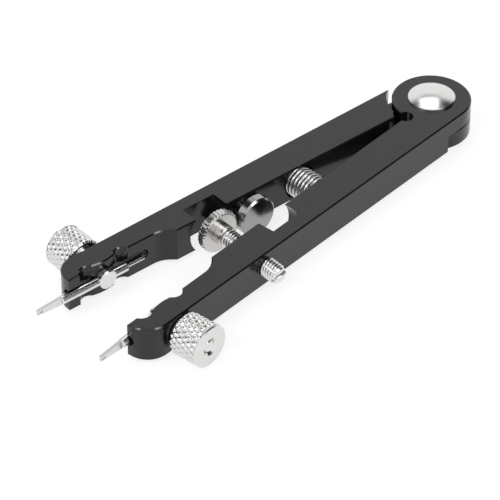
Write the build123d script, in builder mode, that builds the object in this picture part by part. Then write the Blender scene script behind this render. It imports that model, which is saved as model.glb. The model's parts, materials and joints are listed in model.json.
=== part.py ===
from build123d import *
import os
from math import cos, radians, sin

# Spring bar pliers: two hinged arms, a return spring, two adjustable stops and two
# clamped fork pins.  Millimetres, +Z up, fork tips toward -X.
#
# Each arm has its own frame: u runs from the pivot to the tip, v outward from the
# other arm, w through the thickness.  Both arms are the same blank, one turned over.

# --- arms ---
ARM_T = 7.5  # thickness
HALF_OPEN = 4.42  # angle of each arm from the centre line, degrees
BOSS_R = 8.08
LAP_R = 9.2  # relief round the other arm's boss
LAP_GAP = 0.02
LAP_EDGE = 0.15
RELIEF_U = 8.5
RELIEF_R = 1.6
EDGE = 0.25  # chamfer along the faces
OUTER_V = 6.95  # outer side where the nose begins
NOSE_U = 88.05
TIP_U = 92.7
NOSE_END_V = 2.3
JAW_V = 1.4
HOLLOW_R = 2.0
HOLLOW_B = (88.15, 0.75)
HOLLOW_A = (79.75, 1.05)
CROWN_V = 1.7  # crowned tooth between the hollows
CROWN_END_V = 2.6
CROWN_U = 84.0
STEP_V = 2.0
BLEND_U = 71.5  # arc from the jaw face into the slant
BLEND_END = (68.3, 0.83)
SLANT_U = 67.3
FRONT_SET = 0.45  # the front jaw sits further out than the back jaw
BACK_SET = -0.45

# --- pivot ---
RIVET_R = 2.5
TENON_R = 1.5
HEAD_R = 4.8
DOME_H = 1.1
RIM_H = 0.35
CROWN_R = 4.65
CROWN_H = 0.45
CAP_GAP = 0.025
CAP_SKIN = 0.15
RUN_FIT = 0.03

# --- return spring ---
SPRING_X = 35.5  # distance from the pivot
SPRING_R = 3.0
SPRING_WIRE_R = 0.29
SPRING_PITCH = 0.9
SPRING_L = 10.4
SOCKET_U = 35.6
SOCKET_R = 3.7
SOCKET_DEPTH = 3.0

# --- stops ---
POCKET_R = 5.4
BACK_POCKET_U = 58.2
BACK_POCKET_DEPTH = 4.2
FRONT_POCKET_U = 50.4
FRONT_POCKET_DEPTH = 4.0
ROD_U = 58.0
ROD_R = 2.0
ROD_OUT_V = -19.95
ROD_CORE_R = 1.2
ROD_CHAMFER = 0.4
ROD_SLOT_W = 0.8
ROD_SLOT_DEPTH = 1.0
ROD_SLOT_TURN = 70
WHEEL_R = 4.45
WHEEL_T = 1.9
WHEEL_V = -2.5
WHEEL_EDGE = 0.2
HUB_R = 2.2
HUB_L = 2.0
HUB_EDGE = 0.15
DISC_U = 49.3
DISC_R = 4.2
DISC_T = 2.2
DISC_V = -3.55
DISC_EDGE = 0.35
STEM_R = 2.0
STEM_NECK_R = 1.75
STEM_NECK_L = 1.2
STEM_END_V = 5.3

# --- clamps ---
FRONT_CLAMP_U = 84.7
BACK_CLAMP_U = 83.5
EYE_R = 2.03
EYE_T = 2.1
EYE_V = 0.26
EYE_EDGE = 0.2
EYE_SEAT_R = 2.25
EYE_SEAT_V = 2.45
SHANK_R = 1.3
SHANK_END_V = 14.3
SHANK_BORE_R = 1.6
SHANK_EDGE = 0.25
NUT_R = 4.375
NUT_NECK_V = 7.1
NUT_NECK_R = 3.0
NUT_V = 8.0
NUT_L = 6.55
NUT_EDGE = 0.25
NUT_SINK = 0.45

# --- fork pins ---
PIN_V = 1.35
PIN_R = 0.9
PIN_REAR_U = 74.2
PIN_BODY_U = 78.3
PIN_BLADE_U = 94.3
PIN_END_U = 99.9
PIN_THIN_R = 0.375
BLADE_ROOT = 1.64
BLADE_TIP = 0.95
BLADE_T = 0.7
FORK_SLOT_W = 0.4
FORK_SLOT_L = 1.1
FRONT_SHIFT = 0.6  # the front pin is set further out
GROOVE_R = 1.1
GROOVE_V = 1.9
GROOVE_U = 73.6

# --- frame ---
MID_Z = NUT_R  # the nuts and the rivet cap rest on z = 0
REACH = (PIN_END_U + FRONT_SHIFT) * cos(radians(HALF_OPEN))
PIVOT_X = (REACH - (PIN_V - BLADE_T / 2) * sin(radians(HALF_OPEN)) - BOSS_R) / 2
PIVOT = (PIVOT_X, 0, MID_Z)
TOP_Z = MID_Z + ARM_T / 2
BOTTOM_Z = MID_Z - ARM_T / 2
LEAN = (-cos(radians(HALF_OPEN)), sin(radians(HALF_OPEN)))
FRONT = Plane(origin=PIVOT, x_dir=(LEAN[0], -LEAN[1], 0), z_dir=(0, 0, 1))
BACK = Plane(origin=PIVOT, x_dir=(LEAN[0], LEAN[1], 0), z_dir=(0, 0, -1))


def across(arm, u, v=0.0):
    """Plane at (u, v) of an arm, facing outward across it."""
    return Plane(origin=arm.from_local_coords(Vector(u, v, 0)), x_dir=arm.x_dir, z_dir=arm.y_dir)


def along(arm, u, v=0.0):
    """Plane at (u, v) of an arm, facing its tip."""
    return Plane(origin=arm.from_local_coords(Vector(u, v, 0)), x_dir=arm.y_dir, z_dir=arm.x_dir)


def outward(arm):
    """Axis along which an arm's pieces are sorted from its inner to its outer side."""
    return Axis(arm.origin, arm.y_dir)


def is_lap_edge(arm, edge):
    """True for the outer edge of the boss on the side of the half lap."""
    height = arm.to_local_coords(edge.center()).Z
    return abs(height - LAP_GAP) < LAP_GAP / 2 and abs(edge.radius - BOSS_R) < EDGE


def arm_blank(arm, jaw_set, clamp_u, rivet_bore_r):
    """The machined arm of both sides: boss, leg, half lap, jaw and clamp bore."""
    hollow_a = (HOLLOW_A[0] + jaw_set, HOLLOW_A[1])
    hollow_b = (HOLLOW_B[0] + jaw_set, HOLLOW_B[1])
    tip_u = TIP_U + jaw_set
    with BuildPart() as blank:
        with BuildSketch(arm.offset(-ARM_T / 2)):
            with BuildLine():
                outer = Line((0, BOSS_R), (NOSE_U + jaw_set, OUTER_V))
                nose = TangentArc(outer @ 1, (tip_u, NOSE_END_V), tangent=outer % 1)
                Polyline(nose @ 1, (tip_u, JAW_V), (hollow_b[0], JAW_V), (hollow_b[0], CROWN_END_V))
                ThreePointArc(
                    (hollow_b[0], CROWN_END_V),
                    (CROWN_U + jaw_set, CROWN_V),
                    (hollow_a[0], CROWN_END_V),
                )
                step = Polyline(
                    (hollow_a[0], CROWN_END_V),
                    (hollow_a[0], STEP_V),
                    (BLEND_U + jaw_set, STEP_V),
                )
                blend = TangentArc(step @ 1, (BLEND_END[0] + jaw_set, BLEND_END[1]), tangent=(-1, 0))
                Polyline(blend @ 1, (SLANT_U + jaw_set, 0), (0, 0), (0, BOSS_R))
            make_face()
            Circle(BOSS_R)
            with Locations(hollow_a, hollow_b):
                Circle(HOLLOW_R, mode=Mode.SUBTRACT)
        extrude(amount=ARM_T)
        faces = blank.faces().filter_by(Axis.Z).sort_by(Axis.Z)
        chamfer(faces[0].edges() + faces[-1].edges(), length=EDGE)
        # half lap round the other boss
        with BuildSketch(arm.offset(-ARM_T / 2)):
            Circle(LAP_R)
        extrude(amount=ARM_T / 2 + LAP_GAP, mode=Mode.SUBTRACT)
        circles = blank.edges().filter_by(GeomType.CIRCLE)
        chamfer([edge for edge in circles if is_lap_edge(arm, edge)], length=LAP_EDGE)
        # rivet bore and the relief hole in the crotch
        with BuildSketch(arm.offset(-ARM_T / 2)):
            Circle(rivet_bore_r)
            with Locations((RELIEF_U, 0)):
                Circle(RELIEF_R)
        extrude(amount=ARM_T, mode=Mode.SUBTRACT)
        # spring socket
        with BuildSketch(across(arm, SOCKET_U)):
            Circle(SOCKET_R)
        extrude(amount=SOCKET_DEPTH, mode=Mode.SUBTRACT)
        # pin groove with a ball end
        with BuildSketch(along(arm, GROOVE_U)):
            SlotCenterToCenter(2 * GROOVE_V, 2 * GROOVE_R)
        extrude(amount=TIP_U, mode=Mode.SUBTRACT)
        with BuildSketch(across(arm, GROOVE_U)):
            Circle(GROOVE_R)
        extrude(amount=GROOVE_V, mode=Mode.SUBTRACT)
        with Locations(across(arm, GROOVE_U, GROOVE_V).location):
            Sphere(GROOVE_R, mode=Mode.SUBTRACT)
        # seat and bore of the eye bolt
        with BuildSketch(across(arm, clamp_u)):
            Circle(EYE_SEAT_R)
        extrude(amount=EYE_SEAT_V, mode=Mode.SUBTRACT)
        with BuildSketch(across(arm, clamp_u)):
            Circle(SHANK_BORE_R)
        extrude(amount=BOSS_R, mode=Mode.SUBTRACT)
    return blank


# front arm: blank with the stop disc pocket and the stop rod's bore, square to the open back arm
front_blank = arm_blank(FRONT, FRONT_SET, FRONT_CLAMP_U, RIVET_R)
with BuildPart() as front_arm:
    add(front_blank.part)
    with BuildSketch(across(FRONT, FRONT_POCKET_U)):
        Circle(POCKET_R)
    extrude(amount=FRONT_POCKET_DEPTH, mode=Mode.SUBTRACT)
    with BuildSketch(across(BACK, ROD_U, ROD_OUT_V)):
        Circle(ROD_R + RUN_FIT)
    extrude(amount=WHEEL_V - ROD_OUT_V, mode=Mode.SUBTRACT)
front_arm.part.label = "front_arm"

# back arm: blank with the stop wheel pocket and the disc stem's bore
back_blank = arm_blank(BACK, BACK_SET, BACK_CLAMP_U, RIVET_R + RUN_FIT)
with BuildPart() as back_arm:
    add(back_blank.part)
    with BuildSketch(across(BACK, BACK_POCKET_U)):
        Circle(POCKET_R)
    extrude(amount=BACK_POCKET_DEPTH, mode=Mode.SUBTRACT)
    with BuildSketch(across(BACK, DISC_U)):
        Circle(STEM_R + RUN_FIT)
    extrude(amount=BOSS_R, mode=Mode.SUBTRACT)
back_arm.part.label = "back_arm"

# pivot rivet: domed head, shank through both bosses, tenon for the cap
with BuildPart() as pivot_rivet:
    with BuildSketch(Plane(origin=(PIVOT_X, 0, 0), x_dir=(1, 0, 0), z_dir=(0, -1, 0))):
        with BuildLine():
            Polyline(
                (0, TOP_Z + RIM_H + DOME_H),
                (0, CAP_SKIN),
                (TENON_R, CAP_SKIN),
                (TENON_R, BOTTOM_Z - CAP_GAP),
                (RIVET_R, BOTTOM_Z - CAP_GAP),
                (RIVET_R, TOP_Z),
                (HEAD_R, TOP_Z),
                (HEAD_R, TOP_Z + RIM_H),
            )
            crown = TangentArc((0, TOP_Z + RIM_H + DOME_H), (CROWN_R, TOP_Z + CROWN_H), tangent=(1, 0))
            TangentArc(crown @ 1, (HEAD_R, TOP_Z + RIM_H), tangent=crown % 1)
        make_face()
    revolve(axis=Axis((PIVOT_X, 0, 0), (0, 0, 1)))
pivot_rivet.part.label = "pivot_rivet"

# flat cap on the lower end of the rivet
with BuildPart() as rivet_cap:
    with BuildSketch(Plane(origin=(PIVOT_X, 0, 0))):
        Circle(HEAD_R)
    extrude(amount=BOTTOM_Z - CAP_GAP)
    chamfer(rivet_cap.edges().filter_by(GeomType.CIRCLE), length=EDGE / 2)
    with BuildSketch(Plane(origin=(PIVOT_X, 0, CAP_SKIN))):
        Circle(TENON_R)
    extrude(amount=BOTTOM_Z, mode=Mode.SUBTRACT)
rivet_cap.part.label = "rivet_cap"

# return spring between the two sockets
with BuildPart() as arm_spring:
    with BuildLine() as coil:
        Helix(
            SPRING_PITCH,
            SPRING_L,
            SPRING_R,
            center=(PIVOT_X - SPRING_X, -SPRING_L / 2, MID_Z),
            direction=(0, 1, 0),
        )
    with BuildSketch(Plane(origin=coil.line @ 0, z_dir=coil.line % 0)):
        Circle(SPRING_WIRE_R)
    sweep()
arm_spring.part.label = "arm_spring"

# stop rod screwed through the front arm, slotted at its outer end
with BuildPart() as stop_rod:
    with BuildSketch(across(BACK, ROD_U, ROD_OUT_V)):
        Circle(ROD_R)
    extrude(amount=WHEEL_V - HUB_L - ROD_OUT_V)
    chamfer(stop_rod.edges().filter_by(GeomType.CIRCLE), length=ROD_CHAMFER)
    with BuildSketch(across(BACK, ROD_U, WHEEL_V - HUB_L)):
        Circle(ROD_CORE_R)
    extrude(amount=HUB_L + WHEEL_T)
    with BuildSketch(across(BACK, ROD_U, ROD_OUT_V)):
        Rectangle(ROD_SLOT_W, 2 * ROD_R, rotation=ROD_SLOT_TURN)
    extrude(amount=ROD_SLOT_DEPTH, mode=Mode.SUBTRACT)
stop_rod.part.label = "stop_rod"

# knurled stop wheel fast on the core of the rod, and the plain hub round the core
with BuildPart() as stop_wheel:
    with BuildSketch(across(BACK, ROD_U, WHEEL_V)):
        Circle(WHEEL_R)
    extrude(amount=WHEEL_T)
    chamfer(stop_wheel.edges().filter_by(GeomType.CIRCLE), length=WHEEL_EDGE)
    with BuildSketch(across(BACK, ROD_U, WHEEL_V)):
        Circle(ROD_CORE_R)
    extrude(amount=WHEEL_T, mode=Mode.SUBTRACT)
stop_wheel.part.label = "stop_wheel"

with BuildPart() as stop_wheel_hub:
    with BuildSketch(across(BACK, ROD_U, WHEEL_V - HUB_L + RUN_FIT)):
        Circle(HUB_R)
    extrude(amount=HUB_L - 2 * RUN_FIT)
    chamfer(stop_wheel_hub.edges().filter_by(GeomType.CIRCLE).sort_by(outward(BACK))[0], length=HUB_EDGE)
    with BuildSketch(across(BACK, ROD_U, WHEEL_V - HUB_L)):
        Circle(ROD_CORE_R + RUN_FIT)
    extrude(amount=HUB_L, mode=Mode.SUBTRACT)
stop_wheel_hub.part.label = "stop_wheel_hub"

# polished stop disc turning on the neck of its threaded stem
with BuildPart() as stop_disc:
    with BuildSketch(across(BACK, DISC_U, DISC_V)):
        Circle(DISC_R)
    extrude(amount=DISC_T)
    chamfer(stop_disc.edges().filter_by(GeomType.CIRCLE), length=DISC_EDGE)
    with BuildSketch(across(BACK, DISC_U, DISC_V + DISC_T - STEM_NECK_L)):
        Circle(STEM_NECK_R + RUN_FIT)
    extrude(amount=STEM_NECK_L, mode=Mode.SUBTRACT)
stop_disc.part.label = "stop_disc"

with BuildPart() as stop_disc_stem:
    with BuildSketch(across(BACK, DISC_U, DISC_V + DISC_T - STEM_NECK_L + RUN_FIT)):
        Circle(STEM_NECK_R)
    extrude(amount=STEM_NECK_L)
    with BuildSketch(across(BACK, DISC_U, DISC_V + DISC_T + RUN_FIT)):
        Circle(STEM_R)
    extrude(amount=STEM_END_V - DISC_V - DISC_T)
stop_disc_stem.part.label = "stop_disc_stem"


def eye_bolt(arm, u):
    """Clamp bolt: flat round eye that the pin passes through, shank out to the nut."""
    with BuildPart() as bolt:
        with BuildSketch(across(arm, u, EYE_V)):
            Circle(EYE_R)
        extrude(amount=EYE_T)
        chamfer(bolt.edges().filter_by(GeomType.CIRCLE), length=EYE_EDGE)
        with BuildSketch(across(arm, u, EYE_V + EYE_T)):
            Circle(SHANK_R)
        extrude(amount=SHANK_END_V - EYE_V - EYE_T)
        chamfer(bolt.faces().sort_by(outward(arm))[-1].edges(), length=SHANK_EDGE)
        with BuildSketch(along(arm, u - EYE_R, PIN_V)):
            Circle(PIN_R + RUN_FIT)
        extrude(amount=2 * EYE_R, mode=Mode.SUBTRACT)
    return bolt


def clamp_nut(arm, u):
    """Knurled barrel nut on a narrow neck, countersunk at its outer face."""
    with BuildPart() as nut:
        with BuildSketch(across(arm, u, NUT_V)):
            Circle(NUT_R)
        extrude(amount=NUT_L)
        chamfer(nut.edges().filter_by(GeomType.CIRCLE), length=NUT_EDGE)
        with BuildSketch(across(arm, u, NUT_NECK_V)):
            Circle(NUT_NECK_R)
        extrude(amount=NUT_V - NUT_NECK_V)
        with BuildSketch(across(arm, u, NUT_NECK_V)):
            Circle(SHANK_R + RUN_FIT)
        extrude(amount=NUT_V + NUT_L - NUT_NECK_V, mode=Mode.SUBTRACT)
        chamfer(nut.faces().sort_by(outward(arm))[-1].inner_wires().edges(), length=NUT_SINK)
    return nut


def fork_pin(arm, shift):
    """Reversible pin: thin plain end, round body, flat tapered blade with a forked end."""
    with BuildPart() as pin:
        with BuildSketch(along(arm, PIN_REAR_U + shift, PIN_V)):
            Circle(PIN_THIN_R)
        extrude(amount=PIN_BODY_U - PIN_REAR_U)
        with BuildSketch(along(arm, PIN_BODY_U + shift, PIN_V)):
            Circle(PIN_R)
        extrude(amount=PIN_BLADE_U - PIN_BODY_U)
        chamfer(pin.edges().filter_by(GeomType.CIRCLE).group_by(SortBy.RADIUS)[-1], length=EDGE)
        blade_l = PIN_END_U - PIN_BLADE_U
        with BuildSketch(across(arm, PIN_BLADE_U + shift, PIN_V)):
            with BuildLine():
                Polyline(
                    (0, BLADE_ROOT / 2),
                    (blade_l, BLADE_TIP / 2),
                    (blade_l, -BLADE_TIP / 2),
                    (0, -BLADE_ROOT / 2),
                    close=True,
                )
            make_face()
            with Locations((blade_l - FORK_SLOT_L / 2, 0)):
                Rectangle(FORK_SLOT_L, FORK_SLOT_W, mode=Mode.SUBTRACT)
        extrude(amount=BLADE_T / 2, both=True)
    return pin


front_eye_bolt = eye_bolt(FRONT, FRONT_CLAMP_U)
front_eye_bolt.part.label = "front_eye_bolt"
front_clamp_nut = clamp_nut(FRONT, FRONT_CLAMP_U)
front_clamp_nut.part.label = "front_clamp_nut"
front_fork_pin = fork_pin(FRONT, FRONT_SHIFT)
front_fork_pin.part.label = "front_fork_pin"
back_eye_bolt = eye_bolt(BACK, BACK_CLAMP_U)
back_eye_bolt.part.label = "back_eye_bolt"
back_clamp_nut = clamp_nut(BACK, BACK_CLAMP_U)
back_clamp_nut.part.label = "back_clamp_nut"
back_fork_pin = fork_pin(BACK, 0)
back_fork_pin.part.label = "back_fork_pin"

os.makedirs("parts", exist_ok=True)
export_step(front_arm.part, "parts/front_arm.step")
export_step(back_arm.part, "parts/back_arm.step")
export_step(pivot_rivet.part, "parts/pivot_rivet.step")
export_step(rivet_cap.part, "parts/rivet_cap.step")
export_step(arm_spring.part, "parts/arm_spring.step")
export_step(stop_rod.part, "parts/stop_rod.step")
export_step(stop_wheel.part, "parts/stop_wheel.step")
export_step(stop_wheel_hub.part, "parts/stop_wheel_hub.step")
export_step(stop_disc.part, "parts/stop_disc.step")
export_step(stop_disc_stem.part, "parts/stop_disc_stem.step")
export_step(front_eye_bolt.part, "parts/front_eye_bolt.step")
export_step(front_clamp_nut.part, "parts/front_clamp_nut.step")
export_step(front_fork_pin.part, "parts/front_fork_pin.step")
export_step(back_eye_bolt.part, "parts/back_eye_bolt.step")
export_step(back_clamp_nut.part, "parts/back_clamp_nut.step")
export_step(back_fork_pin.part, "parts/back_fork_pin.step")
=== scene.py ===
import json
import math

import bmesh
import bpy
from mathutils import Matrix, Vector


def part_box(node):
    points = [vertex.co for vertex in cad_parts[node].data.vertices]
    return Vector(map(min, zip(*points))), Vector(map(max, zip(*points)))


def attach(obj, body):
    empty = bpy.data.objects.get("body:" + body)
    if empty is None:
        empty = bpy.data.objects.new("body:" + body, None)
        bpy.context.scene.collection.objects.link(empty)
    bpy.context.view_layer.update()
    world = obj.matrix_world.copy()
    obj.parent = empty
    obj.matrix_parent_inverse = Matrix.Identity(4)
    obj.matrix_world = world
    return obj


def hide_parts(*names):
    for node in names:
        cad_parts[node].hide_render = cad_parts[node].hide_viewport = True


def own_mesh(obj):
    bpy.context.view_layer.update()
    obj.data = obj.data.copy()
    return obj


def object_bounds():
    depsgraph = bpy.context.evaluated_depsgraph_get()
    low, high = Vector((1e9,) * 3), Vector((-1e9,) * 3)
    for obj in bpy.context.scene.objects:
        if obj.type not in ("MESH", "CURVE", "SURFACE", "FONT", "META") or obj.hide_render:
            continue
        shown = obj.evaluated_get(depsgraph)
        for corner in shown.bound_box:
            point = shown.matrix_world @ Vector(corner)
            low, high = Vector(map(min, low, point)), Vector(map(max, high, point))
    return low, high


MM = 0.001
SAME_SPOT = 0.0000001  # metres
SMOOTH_DEG = 30  # sharper edges than this stay sharp

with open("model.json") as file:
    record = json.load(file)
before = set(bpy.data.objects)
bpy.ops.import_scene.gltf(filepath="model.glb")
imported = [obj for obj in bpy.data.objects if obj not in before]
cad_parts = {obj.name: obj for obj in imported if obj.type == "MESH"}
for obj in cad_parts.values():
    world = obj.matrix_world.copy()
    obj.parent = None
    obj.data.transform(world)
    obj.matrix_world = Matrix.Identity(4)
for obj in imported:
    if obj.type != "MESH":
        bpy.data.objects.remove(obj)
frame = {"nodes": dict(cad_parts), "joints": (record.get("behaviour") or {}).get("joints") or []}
cad_box = [list(corner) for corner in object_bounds()]
nodes = frame["nodes"]
joints = {joint["name"]: joint for joint in frame["joints"]}

# ----------------------------------------------------------- sizes (mm)
# clamp nuts
NUT_OUTER_R = 4.37
NUT_KNURLS = 22
NUT_KNURL_DEPTH = 0.36
NUT_KNURL_FLAT = 0.35
NUT_KNURL_ANGLE = 30
NUT_NECK = 0.9
NUT_NECK_R = 2.98
NUT_BORE_R = 1.38
NUT_SINK_R = 1.85
# stop wheel
WHEEL_OUTER_R = 4.445
WHEEL_TEETH = 32
WHEEL_TOOTH_DEPTH = 0.34
WHEEL_TOOTH_FLAT = 0.5
WHEEL_BORE_R = 1.2
# screws
STOP_PITCH = 0.7
STOP_THREAD_DEPTH = 0.36
THREAD_STEPS = 12
THREAD_SEGMENTS = 64
RUN_OUT = 0.25
THREAD_CREST = 0.12  # part of the half pitch
THREAD_FLANK = 0.76
SCREW_R = 1.985
SLOT_WIDTH = 0.8
SLOT_DEPTH = 1.0
SLOT_TURN = -20
ROD_CORE_R = 1.2
# return spring
SPRING_WIRE_R = 0.30
SPRING_PITCH = 0.9
SPRING_STEPS = 36
WIRE_SEGMENTS = 12


# ------------------------------------------------------------ node groups
class Finish:
    """A material with the Principled shader and short calls that add nodes to it."""

    def __init__(self, name, base, metallic, roughness):
        self.material = bpy.data.materials.new(name)
        self.material.use_nodes = True
        self.tree = self.material.node_tree
        self.shader = self.tree.nodes["Principled BSDF"]
        self.set("Base Color", (*base, 1))
        self.set("Metallic", metallic)
        self.set("Roughness", roughness)

    def set(self, socket, value):
        self.shader.inputs[socket].default_value = value

    def link(self, source, socket):
        self.tree.links.new(source, self.shader.inputs[socket])

    def noise(self, scale, detail, stretch=(1, 1, 1)):
        """Noise in object space, stretched where the surface has a grain."""
        place = self.tree.nodes.new("ShaderNodeTexCoord")
        mapping = self.tree.nodes.new("ShaderNodeMapping")
        mapping.inputs["Scale"].default_value = stretch
        texture = self.tree.nodes.new("ShaderNodeTexNoise")
        texture.inputs["Scale"].default_value = scale
        texture.inputs["Detail"].default_value = detail
        self.tree.links.new(place.outputs["Object"], mapping.inputs["Vector"])
        self.tree.links.new(mapping.outputs["Vector"], texture.inputs["Vector"])
        return texture.outputs["Fac"]

    def edges(self):
        """Low in grooves, half on flat surfaces and high on sharp edges."""
        return self.tree.nodes.new("ShaderNodeNewGeometry").outputs["Pointiness"]

    def ramp(self, source, stops):
        """Colours along a value; stops are (position, colour)."""
        node = self.tree.nodes.new("ShaderNodeValToRGB")
        elements = node.color_ramp.elements
        while len(elements) < len(stops):
            elements.new(0.5)
        for element, (position, colour) in zip(elements, stops):
            element.position = position
            element.color = (*colour, 1)
        self.tree.links.new(source, node.inputs["Fac"])
        return node.outputs["Color"]

    def remap(self, source, low, high):
        """A value from 0..1 brought to low..high."""
        node = self.tree.nodes.new("ShaderNodeMapRange")
        node.inputs["To Min"].default_value = low
        node.inputs["To Max"].default_value = high
        self.tree.links.new(source, node.inputs["Value"])
        return node.outputs["Result"]

    def bump(self, source, distance, strength):
        node = self.tree.nodes.new("ShaderNodeBump")
        node.inputs["Distance"].default_value = distance
        node.inputs["Strength"].default_value = strength
        self.tree.links.new(source, node.inputs["Height"])
        self.link(node.outputs["Normal"], "Normal")


# -------------------------------------------------------------- materials
def grey(value):
    return (value, value, value)


def black_arm():
    """Black finish on steel: glossy, with a fine grain and slight unevenness."""
    finish = Finish("black_arm", grey(0.008), 0.0, 0.14)
    finish.set("Specular IOR Level", 0.46)
    cloud = finish.noise(260, 4)
    finish.link(finish.ramp(cloud, [(0.3, grey(0.005)), (0.7, grey(0.008))]), "Base Color")
    finish.link(finish.remap(finish.noise(3000, 3), 0.11, 0.17), "Roughness")
    finish.bump(finish.noise(9000, 2), 0.000001, 0.3)
    return finish.material


def bright_metal(name, base, roughness, grain, painted_groove_shade=0.0):
    """Plated or turned metal with faint marks along its grain; painted shade darkens its grooves and a
    faint painted highlight lightens its sharp edges.
    """
    finish = Finish(name, base, 1.0, roughness)
    cloud = finish.noise(420, 3)
    finish.link(finish.remap(cloud, roughness * 0.75, roughness * 1.35), "Roughness")
    finish.bump(finish.noise(9000, 2, grain), 0.0000005, 0.2)
    # painted shade: grooves get a darker copy of the base colour, and sharp edges a slightly lighter
    # painted highlight, by pointiness
    groove = tuple(c * (1 - painted_groove_shade) for c in base)
    stops = [(0.40, groove), (0.49, base), (0.60, tuple(min(1, c * 1.05) for c in base))]
    finish.link(finish.ramp(finish.edges(), stops), "Base Color")
    return finish.material


# the last number of each finish is how dark the painted shade in its grooves is
MATERIALS = {
    "black_arm": black_arm(),
    "polished_nickel": bright_metal("polished_nickel", (0.71, 0.70, 0.69), 0.20, (1, 1, 1), 0.2),
    "turned_steel": bright_metal("turned_steel", (0.70, 0.69, 0.68), 0.20, (1, 1, 0.2), 0.75),
    # darker copies of the steel and the nickel: painted shade for the stop wheel, its hub and the stop
    # disc, which reflect the shaded gap between the arms
    "shade_darkened_steel": bright_metal("shade_darkened_steel", (0.60, 0.59, 0.575), 0.24, (1, 1, 0.2), 0.95),
    "shade_darkened_nickel": bright_metal("shade_darkened_nickel", (0.34, 0.335, 0.33), 0.17, (1, 1, 1), 0.2),
    "pin_steel": bright_metal("pin_steel", (0.67, 0.66, 0.65), 0.16, (0.1, 1, 1), 0.3),
    "spring_steel": bright_metal("spring_steel", (0.66, 0.65, 0.64), 0.2, (1, 1, 1), 0.5),
}

CAD_FINISH = {
    "front_arm": "black_arm",
    "back_arm": "black_arm",
    "pivot_rivet": "polished_nickel",
    "rivet_cap": "polished_nickel",
    # painted shade: the hub and the disc get the darkened copies of steel and nickel
    "stop_wheel_hub": "shade_darkened_steel",
    "stop_disc": "shade_darkened_nickel",
    "front_eye_bolt": "turned_steel",
    "back_eye_bolt": "turned_steel",
    "front_fork_pin": "pin_steel",
    "back_fork_pin": "pin_steel",
}


def finish_cad_nodes():
    for name, slot in CAD_FINISH.items():
        node = nodes[name]
        node.data.materials.clear()
        node.data.materials.append(MATERIALS[slot])


# ----------------------------------------------------------------- meshes
def new_piece(name, verts, faces, smooth_deg):
    mesh = bpy.data.meshes.new(name)
    mesh.from_pydata(verts, [], faces)
    merge = bmesh.new()
    merge.from_mesh(mesh)
    bmesh.ops.remove_doubles(merge, verts=merge.verts, dist=SAME_SPOT)
    merge.to_mesh(mesh)
    merge.free()
    mesh.shade_smooth()
    mesh.set_sharp_from_angle(angle=math.radians(smooth_deg))
    piece = bpy.data.objects.new(name, mesh)
    bpy.context.scene.collection.objects.link(piece)
    return piece


def settle(piece, slot, body, node, material=None):
    """Gives a finished piece its slot, the body it rides on and the node it shows; its
    material is the slot's unless another is named."""
    piece.data.materials.append(MATERIALS[material or slot])
    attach(piece, body)
    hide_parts(node)


def turning_frame(joint):
    """Origin at the joint, z along its axis and y up."""
    z = Vector(joints[joint]["axis"]).normalized()
    x = Vector((0, 0, 1)).cross(z).normalized()
    axes = Matrix((x, z.cross(x), z)).transposed().to_4x4()
    return Matrix.Translation(Vector(joints[joint]["pos_m"])) @ axes


def node_span(node, place):
    """Lowest and highest z of a CAD node in a turning frame, in mm."""
    inverse = place.inverted()
    heights = [(inverse @ v.co).z / MM for v in nodes[node].data.vertices]
    return min(heights), max(heights)


def ring_faces(segments, rings, closed):
    """Quads between neighbouring rings, and from the last to the first when closed."""
    faces = []
    for k in range(rings if closed else rings - 1):
        low = k * segments
        high = (k + 1) % rings * segments
        for s in range(segments):
            t = (s + 1) % segments
            faces.append((low + s, low + t, high + t, high + s))
    return faces


def turned(name, place, rings, segments, bored):
    """A turned mesh.  Each ring is (height, radius); a radius may be a function of
    angle and height.  A bored piece closes on itself, any other gets two end faces."""
    verts = []
    for height, radius in rings:
        for s in range(segments):
            angle = 2 * math.pi * s / segments
            r = radius(angle, height) if callable(radius) else radius
            spot = Vector((r * math.cos(angle), r * math.sin(angle), height)) * MM
            verts.append(place @ spot)
    faces = ring_faces(segments, len(rings), bored)
    if not bored:
        top = (len(rings) - 1) * segments
        faces.append(tuple(reversed(range(segments))))
        faces.append(tuple(range(top, top + segments)))
    return new_piece(name, verts, faces, SMOOTH_DEG)


def heights(low, high, step):
    count = max(1, round((high - low) / step))
    return [low + (high - low) * k / count for k in range(count + 1)]


def v_groove(turn, flat):
    """Depth 0..1 of evenly spaced V grooves with flat lands between them."""
    groove = abs(turn % 1.0 - 0.5) * 2
    return max(0.0, (groove - flat) / (1 - flat))


# ------------------------------------------------------------ clamp nuts
def diamond_knurl(radius):
    """Two crossing sets of V grooves, deepest where they cross."""
    pitch = 2 * math.pi * radius / NUT_KNURLS / math.tan(math.radians(NUT_KNURL_ANGLE))

    def at(angle, height):
        turn = angle / (2 * math.pi) * NUT_KNURLS
        right, left = (v_groove(turn + lean * height / pitch, NUT_KNURL_FLAT) for lean in (1, -1))
        return radius - NUT_KNURL_DEPTH * (max(right, left) + right * left) / 2

    return at, pitch


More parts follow.
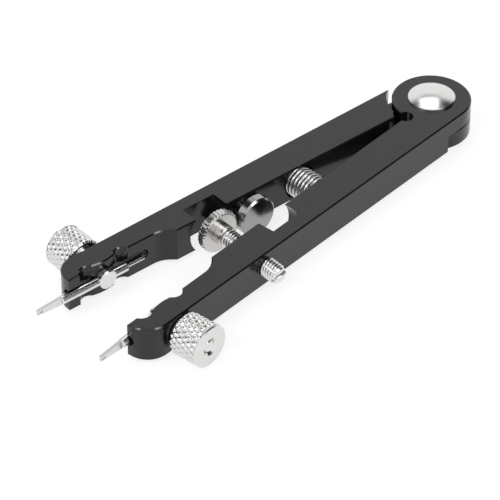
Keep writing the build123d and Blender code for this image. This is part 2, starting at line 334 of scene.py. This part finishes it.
def clamp_nut(name, node, joint, body):
    place = turning_frame(joint)
    low, high = node_span(node, place)
    outer = NUT_OUTER_R
    knurl, pitch = diamond_knurl(outer)
    neck = low + NUT_NECK
    inside = [(low + 0.15, NUT_BORE_R), (low, NUT_BORE_R + 0.15)]
    collar = [(low, NUT_NECK_R - 0.12), (low + 0.12, NUT_NECK_R), (neck, NUT_NECK_R)]
    shoulder = [(neck, outer - 0.42)]
    grip = [(h, knurl) for h in heights(neck + 0.28, high - 0.55, pitch / 12)]
    rim = [(high - 0.45, outer - 0.22), (high - 0.34, outer - 0.02), (high - 0.22, outer)]
    face = [(high - 0.03, outer - 0.2), (high, outer - 0.26), (high, 3.0), (high, NUT_SINK_R + 0.06)]
    sink = [(high - 0.04, NUT_SINK_R), (high - 0.5, NUT_BORE_R), (high - 0.8, NUT_BORE_R)]
    rings = inside + collar + shoulder + grip + rim + face + sink
    nut = turned(name, place, rings, NUT_KNURLS * 12, True)
    settle(nut, "turned_steel", body, node)


# ------------------------------------------------------------ stop screws
def straight_knurl(radius):
    def at(angle, height):
        turn = angle / (2 * math.pi) * WHEEL_TEETH
        return radius - WHEEL_TOOTH_DEPTH * v_groove(turn, WHEEL_TOOTH_FLAT)

    return at


def stop_wheel():
    place = turning_frame("stop_spin")
    low, high = node_span("stop_wheel", place)
    outer = WHEEL_OUTER_R
    root = outer - WHEEL_TOOTH_DEPTH
    bore = [(low + 0.1, WHEEL_BORE_R), (low, WHEEL_BORE_R + 0.07)]
    back = [(low, 3.6), (low, root - 0.12), (low + 0.1, root)]
    grip = [(h, straight_knurl(outer)) for h in heights(low + 0.26, high - 0.26, 0.3)]
    front = [(high - 0.1, root), (high, root - 0.12), (high, 3.6)]
    rest = [(high, WHEEL_BORE_R + 0.07), (high - 0.1, WHEEL_BORE_R)]
    rings = bore + back + grip + front + rest
    wheel = turned("stop_wheel_knurled", place, rings, WHEEL_TEETH * 12, True)
    # painted shade: the wheel gets the darkened copy of steel instead of its slot's material
    settle(wheel, "turned_steel", "stop_screw", "stop_wheel", "shade_darkened_steel")


def threaded(name, place, low, high, radius, depth, pitch, ends):
    """A shank with a right-hand V thread whose mesh lines follow the helix and run out
    at both ends; ends are the rings before and after the thread."""
    root = radius - depth
    step = pitch / THREAD_STEPS

    def on_helix(start, segment):
        height = start + pitch * segment / THREAD_SEGMENTS
        if not low < height < high:
            return min(max(height, low), high), root
        ridge = abs(start / pitch % 1.0 - 0.5) * 2
        crest = 1 - min(1.0, max(0.0, (ridge - THREAD_CREST) / THREAD_FLANK))
        run_out = min(1.0, (height - low) / RUN_OUT, (high - height) / RUN_OUT)
        return height, root + depth * crest * run_out

    starts = [low - pitch + k * step for k in range(math.ceil((high - low + pitch) / step) + 1)]
    coil = [[on_helix(start, s) for s in range(THREAD_SEGMENTS)] for start in starts]
    before, after = ([[ring] * THREAD_SEGMENTS for ring in rings] for rings in ends)
    rings = before + coil + after
    verts = []
    for ring in rings:
        for s, (height, r) in enumerate(ring):
            angle = 2 * math.pi * s / THREAD_SEGMENTS
            verts.append(place @ (Vector((r * math.cos(angle), r * math.sin(angle), height)) * MM))

    last = len(before) + len(coil) - 1

    def next_turn(k):
        """Ring that a ring meets where it has gone once round."""
        return min(k + THREAD_STEPS, last) if len(before) <= k <= last else k

    faces = []
    for k in range(len(rings) - 1):
        low_ring, high_ring = k * THREAD_SEGMENTS, (k + 1) * THREAD_SEGMENTS
        for s in range(THREAD_SEGMENTS - 1):
            faces.append((low_ring + s, low_ring + s + 1, high_ring + s + 1, high_ring + s))
        seam = next_turn(k) * THREAD_SEGMENTS, next_turn(k + 1) * THREAD_SEGMENTS
        faces.append((high_ring - 1, seam[0], seam[1], high_ring + THREAD_SEGMENTS - 1))
    top = (len(rings) - 1) * THREAD_SEGMENTS
    faces.append(tuple(reversed(range(THREAD_SEGMENTS))))
    faces.append(tuple(range(top, top + THREAD_SEGMENTS)))
    return new_piece(name, verts, faces, 40)


def cut_slot(piece, place, end):
    """Saws a screwdriver slot across the low end of a screw."""
    turned_place = place @ Matrix.Rotation(math.radians(SLOT_TURN), 4, "Z")
    verts = []
    for x in (-4, 4):
        for y in (-SLOT_WIDTH / 2, SLOT_WIDTH / 2):
            for z in (end - 1, end + SLOT_DEPTH):
                verts.append(turned_place @ (Vector((x, y, z)) * MM))
    faces = [(0, 1, 3, 2), (4, 6, 7, 5), (0, 4, 5, 1), (2, 3, 7, 6), (0, 2, 6, 4), (1, 5, 7, 3)]
    saw = new_piece("saw", verts, faces, SMOOTH_DEG)
    cut = piece.modifiers.new("slot", "BOOLEAN")
    cut.object = saw
    cut.solver = "EXACT"
    graph = bpy.context.evaluated_depsgraph_get()
    mesh = bpy.data.meshes.new_from_object(piece.evaluated_get(graph))
    piece.modifiers.clear()
    piece.data = mesh
    bpy.data.objects.remove(saw)


def stop_rod():
    place = turning_frame("stop_spin")
    low, high = node_span("stop_rod", place)
    neck = node_span("stop_wheel_hub", place)[0]
    root = SCREW_R - STOP_THREAD_DEPTH
    chamfer = [(low, root - 0.15), (low + 0.25, root + 0.08)]
    core = [
        (neck - 0.2, root + 0.05),
        (neck - 0.05, root - 0.1),
        (neck - 0.05, ROD_CORE_R),
        (high, ROD_CORE_R),
    ]
    rod = threaded("stop_rod_threaded", place, low + 0.35, neck - 0.3, SCREW_R,
                   STOP_THREAD_DEPTH, STOP_PITCH, (chamfer, core))
    cut_slot(rod, place, low)
    settle(rod, "turned_steel", "stop_screw", "stop_rod")


def disc_stem():
    place = turning_frame("disc_spin")
    low, high = node_span("stop_disc_stem", place)
    root = SCREW_R - STOP_THREAD_DEPTH
    near = [(low, root), (low + 0.3, root)]
    far = [(high - 0.2, root + 0.05), (high, root - 0.15)]
    stem = threaded("disc_stem_threaded", place, low + 0.4, high - 0.3, SCREW_R,
                    STOP_THREAD_DEPTH, STOP_PITCH, (near, far))
    settle(stem, "turned_steel", "disc_stem", "stop_disc_stem")


# ----------------------------------------------------------- return spring
def return_spring():
    """The compression spring: a round wire along a helix between the two arms."""
    low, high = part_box("arm_spring")
    centre = (low + high) / 2
    coil_r = (high.x - low.x) / 2 - SPRING_WIRE_R * MM
    length = high.y - low.y - 2 * SPRING_WIRE_R * MM
    turns = length / (SPRING_PITCH * MM)
    start = Vector((centre.x, low.y + SPRING_WIRE_R * MM, centre.z))
    count = round(turns * SPRING_STEPS)
    verts = []
    for k in range(count + 1):
        angle = 2 * math.pi * turns * k / count
        out = Vector((math.cos(angle), 0, math.sin(angle)))
        spot = start + out * coil_r + Vector((0, length * k / count, 0))
        for s in range(WIRE_SEGMENTS):
            round_wire = 2 * math.pi * s / WIRE_SEGMENTS
            offset = out * math.cos(round_wire) + Vector((0, 1, 0)) * math.sin(round_wire)
            verts.append(spot + offset * SPRING_WIRE_R * MM)
    faces = ring_faces(WIRE_SEGMENTS, count + 1, False)
    faces.append(tuple(reversed(range(WIRE_SEGMENTS))))
    faces.append(tuple(range(count * WIRE_SEGMENTS, (count + 1) * WIRE_SEGMENTS)))
    spring = new_piece("return_spring_coil", verts, faces, 50)
    settle(spring, "spring_steel", "front", "arm_spring")
    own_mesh(spring)


# ------------------------------------------------------------------ stage
CAMERA_AZ = math.radians(-44.9)
CAMERA_EL = math.radians(38.6)
CAMERA_DISTANCE = 602.9
CAMERA_LENS = 225.4
WORLD_LIGHT = 1.05
# azimuth, elevation, inner angle, outer angle, light inside
DARK_LOBES = [
    (50, 34, 20, 37, 0.02),
    (72, 50, 8, 24, 0.02),
    (-162, 50, 8, 24, 0.02),
    (135, 73, 24, 34, 0.4),
]
FLOOR_GLOW = 0.80
LOOK_AT = Vector((-11.758, -5.75, 4.375)) * MM


def direction(azimuth, elevation):
    """Unit vector from the object towards a place seen at that azimuth and elevation."""
    flat = math.cos(elevation)
    return Vector((math.sin(azimuth) * flat, -math.cos(azimuth) * flat, math.sin(elevation)))


def aim(thing, spot):
    thing.rotation_euler = (spot - thing.location).to_track_quat("-Z", "Y").to_euler()


def add_camera():
    data = bpy.data.cameras.new("camera")
    data.lens = CAMERA_LENS
    data.sensor_width = 36
    data.clip_start = 0.01
    camera = bpy.data.objects.new("camera", data)
    camera.location = LOOK_AT + direction(CAMERA_AZ, CAMERA_EL) * CAMERA_DISTANCE * MM
    aim(camera, LOOK_AT)
    bpy.context.scene.collection.objects.link(camera)
    bpy.context.scene.camera = camera


def add_light(name, azimuth, elevation, distance, size, power):
    data = bpy.data.lights.new(name, "AREA")
    data.shape = "RECTANGLE"
    data.size, data.size_y = size
    data.energy = power
    light = bpy.data.objects.new(name, data)
    light.location = direction(math.radians(azimuth), math.radians(elevation)) * distance
    aim(light, Vector((0, 0, 0)))
    bpy.context.scene.collection.objects.link(light)


def shadow_lobe(tree, place, azimuth, elevation, inner, outer, level):
    """1 outside the outer angle from a direction, and the level inside the inner angle."""
    toward = direction(math.radians(azimuth), math.radians(elevation))
    near = tree.nodes.new("ShaderNodeVectorMath")
    near.operation = "DOT_PRODUCT"
    near.inputs[1].default_value = toward
    fade = tree.nodes.new("ShaderNodeMapRange")
    fade.interpolation_type = "SMOOTHSTEP"
    fade.inputs["From Min"].default_value = math.cos(math.radians(outer))
    fade.inputs["From Max"].default_value = math.cos(math.radians(inner))
    fade.inputs["To Min"].default_value = 1.0
    fade.inputs["To Max"].default_value = level
    tree.links.new(place, near.inputs[0])
    tree.links.new(near.outputs["Value"], fade.inputs["Value"])
    return fade.outputs["Result"]


def add_world():
    """Soft white studio light all round, with dark patches that the edges, the dome and
    the screws reflect."""
    world = bpy.data.worlds.new("studio")
    world.use_nodes = True
    tree = world.node_tree
    place = tree.nodes.new("ShaderNodeTexCoord").outputs["Generated"]
    light = None
    for lobe in DARK_LOBES:
        shade = shadow_lobe(tree, place, *lobe)
        if light is None:
            light = shade
            continue
        both = tree.nodes.new("ShaderNodeMath")
        both.operation = "MULTIPLY"
        tree.links.new(light, both.inputs[0])
        tree.links.new(shade, both.inputs[1])
        light = both.outputs["Value"]
    level = tree.nodes.new("ShaderNodeMath")
    level.operation = "MULTIPLY"
    level.inputs[1].default_value = WORLD_LIGHT
    tree.links.new(light, level.inputs[0])
    tree.nodes["Background"].inputs["Color"].default_value = (1, 1, 1, 1)
    tree.links.new(level.outputs["Value"], tree.nodes["Background"].inputs["Strength"])
    bpy.context.scene.world = world


def add_floor():
    """A lit white table: the paper glows a little, so that shadows on it stay faint."""
    finish = Finish("floor_paper", grey(0.25), 0.0, 0.9)
    finish.link(finish.ramp(finish.noise(40, 2), [(0.3, grey(0.24)), (0.7, grey(0.26))]), "Base Color")
    finish.set("Specular IOR Level", 0.0)
    finish.set("Emission Color", (1, 1, 1, 1))
    finish.set("Emission Strength", FLOOR_GLOW)
    size = 3.0
    level = cad_box[0][2]
    verts = [(-size, -size, level), (size, -size, level), (size, size, level), (-size, size, level)]
    floor = new_piece("floor", verts, [(0, 1, 2, 3)], SMOOTH_DEG)
    floor.data.materials.append(finish.material)


finish_cad_nodes()
clamp_nut("front_nut_knurled", "front_clamp_nut", "front_nut_spin", "front_nut")
clamp_nut("back_nut_knurled", "back_clamp_nut", "back_nut_spin", "back_nut")
stop_wheel()
stop_rod()
disc_stem()
return_spring()

add_floor()
add_world()
add_camera()
add_light("overhead", 135, 69, 0.9, (0.48, 0.54), 1.3)
add_light("edge_right", 8, 45, 0.9, (0.4, 0.1), 1.1)
add_light("edge_left", -98, 45, 0.9, (0.4, 0.1), 1.1)
bpy.context.scene.view_settings.view_transform = "Standard"
